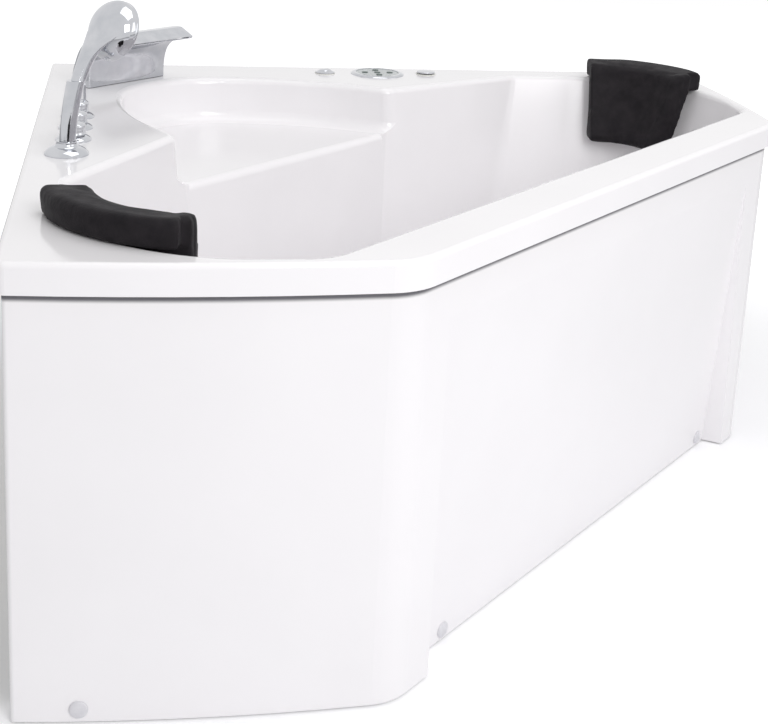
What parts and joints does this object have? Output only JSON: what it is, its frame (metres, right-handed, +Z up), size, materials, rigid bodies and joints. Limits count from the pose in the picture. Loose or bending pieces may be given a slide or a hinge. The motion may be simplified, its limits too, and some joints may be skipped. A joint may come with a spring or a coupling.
{
  "type": "corner bathtub",
  "caption": "Corner bathtub with a seat alcove, recessed front skirt, deck-mounted taps and hand shower, waterfall spout, air massage controls and neck pillows.",
  "frame": {"origin": "middle of the footprint at floor level, under the levelling feet", "axes": "+Z up; the tub stands in a room corner with one wall on -X and the other on +Y, and its front panel faces the diagonal between +X and -Y"},
  "size_m": [1.4119, 1.4119, 0.8934],
  "materials": {
    "white_acrylic": "glossy white acrylic",
    "board": "bare particle board",
    "frame_steel": "galvanised and painted square tube",
    "zinc_steel": "zinc plated",
    "black_plastic": "moulded black",
    "cap_plastic": "pale grey caps",
    "chrome": "polished chrome",
    "rubber": "black seal",
    "waste_plastic": "white waste pipe",
    "brass": "bare brass",
    "copper": "drawn copper",
    "spray_face": "grey nozzle plate",
    "shank_plastic": "grey moulded body",
    "panel_face": "pale panel face",
    "key_plastic": "dark green-grey keys",
    "air_pipe": "white flexible air pipe",
    "pillow_foam": "black soft skin foam"
  },
  "bodies": {
    "tub": {"air_loop": "air_pipe", "air_nozzles": "chrome", "air_riser": "air_pipe", "air_valve": "shank_plastic", "base_board": "board", "blower": "black_plastic", "blower_shelf": "board", "cold_flange": "chrome", "cold_valve": "brass", "control_box": "black_plastic", "control_face": "panel_face", "control_ring": "chrome", "deck_nuts": "brass", "diverter_flange": "chrome", "diverter_valve": "brass", "drain_body": "waste_plastic", "drain_flange": "chrome", "drain_gasket": "rubber", "foot_bolts": "zinc_steel", "foot_nuts": "zinc_steel", "foot_pads": "black_plastic", "frame_posts": "frame_steel", "frame_rails": "frame_steel", "handset_holder": "chrome", "hot_flange": "chrome", "hot_valve": "brass", "mixed_pipes": "copper", "overflow_body": "waste_plastic", "overflow_gasket": "rubber", "overflow_pipe": "waste_plastic", "overflow_plate": "chrome", "power_switch": "shank_plastic", "screw_caps": "cap_plastic", "skirt": "white_acrylic", "skirt_brackets": "frame_steel", "skirt_clips": "zinc_steel", "skirt_screws": "zinc_steel", "spout": "chrome", "spout_gasket": "rubber", "spout_pipe": "copper", "spout_tail": "brass", "trap": "waste_plastic", "trap_nuts": "waste_plastic", "tub_shell": "white_acrylic"},
    "hot_tap": {"hot_knob": "chrome"},
    "cold_tap": {"cold_knob": "chrome"},
    "diverter": {"diverter_knob": "chrome"},
    "drain_control": {"overflow_knob": "chrome"},
    "plug": {"drain_plug": "chrome"},
    "air_control": {"air_knob": "chrome"},
    "power": {"power_button": "chrome"},
    "key_centre": {"centre_key": "key_plastic"},
    "key_right": {"right_key": "key_plastic"},
    "key_back": {"back_key": "key_plastic"},
    "key_left": {"left_key": "key_plastic"},
    "key_front": {"front_key": "key_plastic"},
    "hand_shower": {"handset": "chrome", "spray_plate": "spray_face"},
    "pillow_left": {"left_pillow": "pillow_foam"},
    "pillow_right": {"right_pillow": "pillow_foam"}
  },
  "joints": [
    {"name": "hot_tap_turn", "type": "hinge", "parent": "tub", "child": "hot_tap", "pos_m": [-0.633, -0.024, 0.663], "axis": [0, 0, 1], "range_deg": [0, 180]},
    {"name": "cold_tap_turn", "type": "hinge", "parent": "tub", "child": "cold_tap", "pos_m": [-0.633, 0.066, 0.663], "axis": [0, 0, 1], "range_deg": [0, 180]},
    {"name": "diverter_turn", "type": "hinge", "parent": "tub", "child": "diverter", "pos_m": [-0.633, 0.158, 0.663], "axis": [0, 0, 1], "range_deg": [-90, 0]},
    {"name": "drain_control_turn", "type": "hinge", "parent": "tub", "child": "drain_control", "pos_m": [0.18652, -0.18652, 0.565], "axis": [-0.6994, 0.6994, 0.1473], "range_deg": [0, 90]},
    {"name": "plug_lift", "type": "slide", "parent": "tub", "child": "plug", "axis": [0, 0, 1], "range_m": [0, 0.01]},
    {"name": "air_control_turn", "type": "hinge", "parent": "tub", "child": "air_control", "pos_m": [-0.126, 0.632, 0.657], "axis": [0, 0, 1], "range_deg": [0, 180]},
    {"name": "power_press", "type": "slide", "parent": "tub", "child": "power", "axis": [0, 0, -1], "range_m": [0, 0.002], "stiffness_N_per_m": 400, "springref_m": -0.002},
    {"name": "centre_key_press", "type": "slide", "parent": "tub", "child": "key_centre", "axis": [0, 0, -1], "range_m": [0, 0.001], "stiffness_N_per_m": 400, "springref_m": -0.001},
    {"name": "right_key_press", "type": "slide", "parent": "tub", "child": "key_right", "axis": [0, 0, -1], "range_m": [0, 0.001], "stiffness_N_per_m": 400, "springref_m": -0.001},
    {"name": "back_key_press", "type": "slide", "parent": "tub", "child": "key_back", "axis": [0, 0, -1], "range_m": [0, 0.001], "stiffness_N_per_m": 400, "springref_m": -0.001},
    {"name": "left_key_press", "type": "slide", "parent": "tub", "child": "key_left", "axis": [0, 0, -1], "range_m": [0, 0.001], "stiffness_N_per_m": 400, "springref_m": -0.001},
    {"name": "front_key_press", "type": "slide", "parent": "tub", "child": "key_front", "axis": [0, 0, -1], "range_m": [0, 0.001], "stiffness_N_per_m": 400, "springref_m": -0.001},
    {"name": "hand_shower_lift", "type": "slide", "parent": "tub", "child": "hand_shower", "axis": [0, 0, 1], "range_m": [0, 0.12]},
    {"name": "pillow_left_lift", "type": "slide", "parent": "tub", "child": "pillow_left", "axis": [0, 0, 1], "range_m": [0, 0.2]},
    {"name": "pillow_right_lift", "type": "slide", "parent": "tub", "child": "pillow_right", "axis": [0, 0, 1], "range_m": [0, 0.2]}
  ],
  "couplings": [
    {"joint": "plug_lift", "follows": "drain_control_turn", "m_per_rad": 0.006366}
  ]
}
